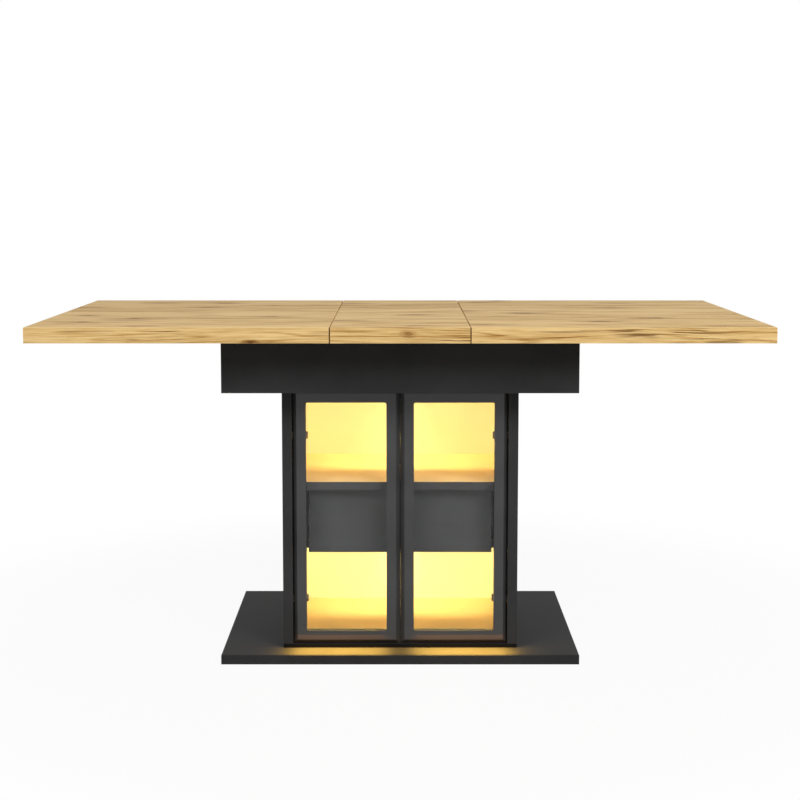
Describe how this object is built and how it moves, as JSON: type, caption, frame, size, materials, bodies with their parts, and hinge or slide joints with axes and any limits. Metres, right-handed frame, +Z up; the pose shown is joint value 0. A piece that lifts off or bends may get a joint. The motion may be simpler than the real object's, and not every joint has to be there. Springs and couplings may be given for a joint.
{
  "type": "extending kitchen table with storage cabinet",
  "caption": "Extending kitchen table: oak-look top with lift-out leaf on a black apron box and pedestal cabinet with glazed hinged doors, shelf, inner drawers and warm light bars.",
  "frame": {"origin": "on the floor under the middle of the table", "axes": "+X along the table top, -Y towards the side with the cabinet doors, +Z up"},
  "size_m": [1.6, 0.8, 0.775],
  "materials": {
    "oak_board": "oak decor board, satin",
    "black_board": "black matte melamine board",
    "pale_board": "pale melamine board",
    "clear_glass": "clear float glass",
    "zinc_steel": "zinc-plated steel",
    "nickel_steel": "black-nickel-plated steel",
    "bar_aluminium": "anodised aluminium",
    "opal_diffuser": "opal polycarbonate",
    "glide_plastic": "moulded plastic",
    "black_plastic": "moulded plastic",
    "beech": "planed beech"
  },
  "bodies": {
    "carcass": {"apron_corner_blocks": "beech", "apron_floor": "black_board", "back_panel": "pale_board", "base_plate": "black_board", "base_screws": "nickel_steel", "bottom_panel": "black_board", "cable_grommet": "black_plastic", "drawer_divider": "pale_board", "front_apron": "black_board", "front_slide_track": "zinc_steel", "glide_pads": "glide_plastic", "left_apron": "black_board", "left_drawer_packer": "black_board", "left_drawer_rails": "nickel_steel", "left_hinge_arms": "nickel_steel", "left_hinge_screws": "nickel_steel", "left_side_panel": "black_board", "light_driver": "black_plastic", "lower_light_diffuser": "opal_diffuser", "lower_light_profile": "bar_aluminium", "lower_shelf": "pale_board", "panel_dowels": "beech", "rear_apron": "black_board", "rear_slide_track": "zinc_steel", "right_apron": "black_board", "right_drawer_packer": "black_board", "right_drawer_rails": "nickel_steel", "right_hinge_arms": "nickel_steel", "right_hinge_screws": "nickel_steel", "right_side_panel": "black_board", "top_panel": "pale_board", "upper_light_diffuser": "opal_diffuser", "upper_light_profile": "bar_aluminium", "upper_shelf": "pale_board"},
    "left_door": {"left_door_frame": "black_board", "left_door_glass": "clear_glass", "left_glazing_beads": "black_board", "left_hinge_pins": "nickel_steel"},
    "left_drawer": {"left_drawer_front": "black_board", "left_drawer_sides": "pale_board", "left_drawer_back": "pale_board", "left_drawer_bottom": "pale_board", "left_drawer_runners": "nickel_steel"},
    "left_half": {"left_top_half": "oak_board", "left_slide_runners": "zinc_steel", "left_battens": "beech"},
    "right_door": {"right_door_frame": "black_board", "right_door_glass": "clear_glass", "right_glazing_beads": "black_board", "right_hinge_pins": "nickel_steel"},
    "right_drawer": {"right_drawer_front": "black_board", "right_drawer_sides": "pale_board", "right_drawer_back": "pale_board", "right_drawer_bottom": "pale_board", "right_drawer_runners": "nickel_steel"},
    "right_half": {"right_top_half": "oak_board", "right_slide_runners": "zinc_steel", "right_battens": "beech"},
    "leaf": {"top_leaf": "oak_board"}
  },
  "joints": [
    {"name": "left_half_slide", "type": "slide", "parent": "carcass", "child": "left_half", "axis": [-1, 0, 0], "range_m": [0, 0.02]},
    {"name": "left_door_hinge", "type": "hinge", "parent": "carcass", "child": "left_door", "pos_m": [-0.233, -0.2135, 0.3265], "axis": [0, 0, -1], "range_deg": [0, 105]},
    {"name": "left_drawer_slide", "type": "slide", "parent": "carcass", "child": "left_drawer", "axis": [0, -1, 0], "range_m": [0, 0.0917]},
    {"name": "right_half_slide", "type": "slide", "parent": "carcass", "child": "right_half", "axis": [1, 0, 0], "range_m": [0, 0.02]},
    {"name": "right_door_hinge", "type": "hinge", "parent": "carcass", "child": "right_door", "pos_m": [0.233, -0.2135, 0.3265], "axis": [0, 0, 1], "range_deg": [0, 105]},
    {"name": "right_drawer_slide", "type": "slide", "parent": "carcass", "child": "right_drawer", "axis": [0, -1, 0], "range_m": [0, 0.0917]},
    {"name": "leaf_lift", "type": "slide", "parent": "carcass", "child": "leaf", "axis": [0, 0, 1], "range_m": [0, 0.3]}
  ],
  "couplings": [
    {"joint": "left_drawer_slide", "follows": "left_door_hinge", "m_per_rad": 0.05},
    {"joint": "right_drawer_slide", "follows": "right_door_hinge", "m_per_rad": 0.05}
  ]
}
